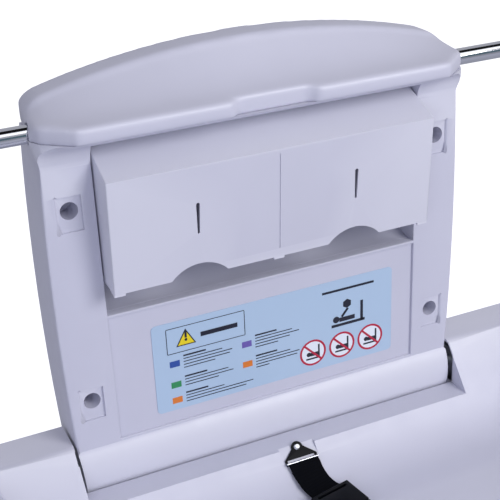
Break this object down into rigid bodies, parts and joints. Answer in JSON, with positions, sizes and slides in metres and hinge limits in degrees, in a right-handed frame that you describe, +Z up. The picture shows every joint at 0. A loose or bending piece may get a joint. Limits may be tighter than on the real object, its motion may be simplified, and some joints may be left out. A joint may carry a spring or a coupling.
{
  "type": "wall-mounted baby changing station",
  "caption": "Horizontal fold-down baby changing station: arched wall unit with liner dispenser and chrome rail, and a deep moulded bed with a safety strap.",
  "frame": {"origin": "centre of the four wall screw holes, on the wall plane", "axes": "+Z up, -Y out of the wall towards the user, +X to the user's right when facing the wall"},
  "size_m": [0.88, 0.508, 0.6116],
  "materials": {
    "white_plastic": "moulded polyethylene with a fine matte grain",
    "grey_plastic": "moulded, satin",
    "steel": "zinc plated",
    "nylon": "turned nylon",
    "black_rubber": "moulded",
    "dark_plastic": "moulded acetal, satin gloss",
    "label_blue": "printed film, satin",
    "chrome": "polished",
    "black_metal": "black powder coat",
    "webbing": "woven polyester webbing"
  },
  "bodies": {
    "wall_unit": {"wall_housing": "white_plastic", "crown_cover": "white_plastic", "back_plate": "grey_plastic", "dispenser_tray": "grey_plastic", "rail_clamp_left": "grey_plastic", "rail_clamp_right": "grey_plastic", "back_plate_screws": "steel", "side_frame_left": "steel", "side_frame_right": "steel", "rail_clamp_screws": "steel", "door_pin_left": "steel", "door_pin_right": "steel", "shaft_bush_left": "nylon", "shaft_bush_right": "nylon", "stop_pad_left": "black_rubber", "stop_pad_right": "black_rubber", "rotary_damper_left": "dark_plastic", "rotary_damper_right": "dark_plastic", "door_catch": "dark_plastic", "rail_cap_left": "dark_plastic", "rail_cap_right": "dark_plastic", "label_plate": "label_blue", "hanging_rail": "chrome"},
    "bed": {"bed_tray": "white_plastic", "bed_shell": "white_plastic", "bed_shell_screws": "steel", "hinge_plate_left": "steel", "hinge_plate_right": "steel", "hinge_shaft": "steel", "stop_lever_left": "steel", "stop_lever_right": "steel", "anchor_plate_rear": "black_metal", "anchor_plate_front": "black_metal", "anchor_bar_rear": "chrome", "anchor_bar_front": "chrome", "anchor_screws": "chrome", "strap_rear": "webbing", "strap_front": "webbing", "strap_slider": "dark_plastic", "buckle_socket": "dark_plastic", "buckle_tongue": "dark_plastic"},
    "door": {"dispenser_door": "white_plastic"},
    "tab_left": {"buckle_tab_left": "dark_plastic"},
    "tab_right": {"buckle_tab_right": "dark_plastic"}
  },
  "joints": [
    {"name": "bed_fold", "type": "hinge", "parent": "wall_unit", "child": "bed", "pos_m": [0, -0.07, -0.23], "axis": [-1, 0, 0], "range_deg": [0, 90]},
    {"name": "door_tilt", "type": "hinge", "parent": "wall_unit", "child": "door", "pos_m": [0, -0.072, 0.034], "axis": [1, 0, 0], "range_deg": [0, 4]},
    {"name": "tab_left_squeeze", "type": "slide", "parent": "bed", "child": "tab_left", "axis": [0.9781, 0.2079, 0], "range_m": [0, 0.0025], "stiffness_N_per_m": 600},
    {"name": "tab_right_squeeze", "type": "slide", "parent": "bed", "child": "tab_right", "axis": [-0.9781, -0.2079, 0], "range_m": [0, 0.0025], "stiffness_N_per_m": 600}
  ],
  "couplings": [
    {"joint": "tab_right_squeeze", "follows": "tab_left_squeeze", "ratio": 1}
  ]
}
